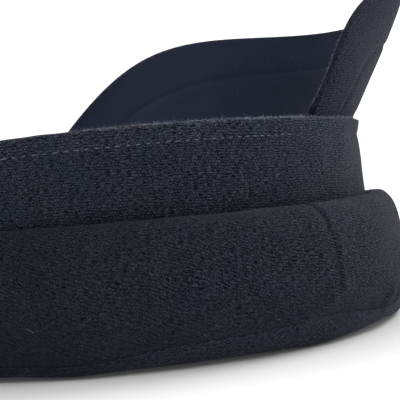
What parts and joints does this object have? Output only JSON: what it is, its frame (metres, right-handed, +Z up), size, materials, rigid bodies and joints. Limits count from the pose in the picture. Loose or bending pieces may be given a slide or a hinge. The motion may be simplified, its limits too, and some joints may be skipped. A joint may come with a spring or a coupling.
{
  "type": "fisherman cap",
  "caption": "Soft wool cloth cap with a stitched band and a stiff cupped peak, lying upside down on its crown with the head opening up.",
  "frame": {"origin": "centre of the flat patch of the crown's tip that the cap rests on", "axes": "+Z up out of the head opening, -Y towards the peak, X across the cap"},
  "size_m": [0.2161, 0.2487, 0.1215],
  "materials": {
    "crown_cloth": "dark navy wool cloth, fine dense weave with a short nap",
    "band_cloth": "dark navy wool cloth, doubled and topstitched near the hem",
    "peak_cloth": "dark navy wool cloth drawn over a stiff board, smooth underside"
  },
  "bodies": {
    "root": {"crown_tip": "crown_cloth", "crown_side_front": "crown_cloth", "crown_side_back": "crown_cloth", "band": "band_cloth", "peak": "peak_cloth"}
  },
  "joints": []
}
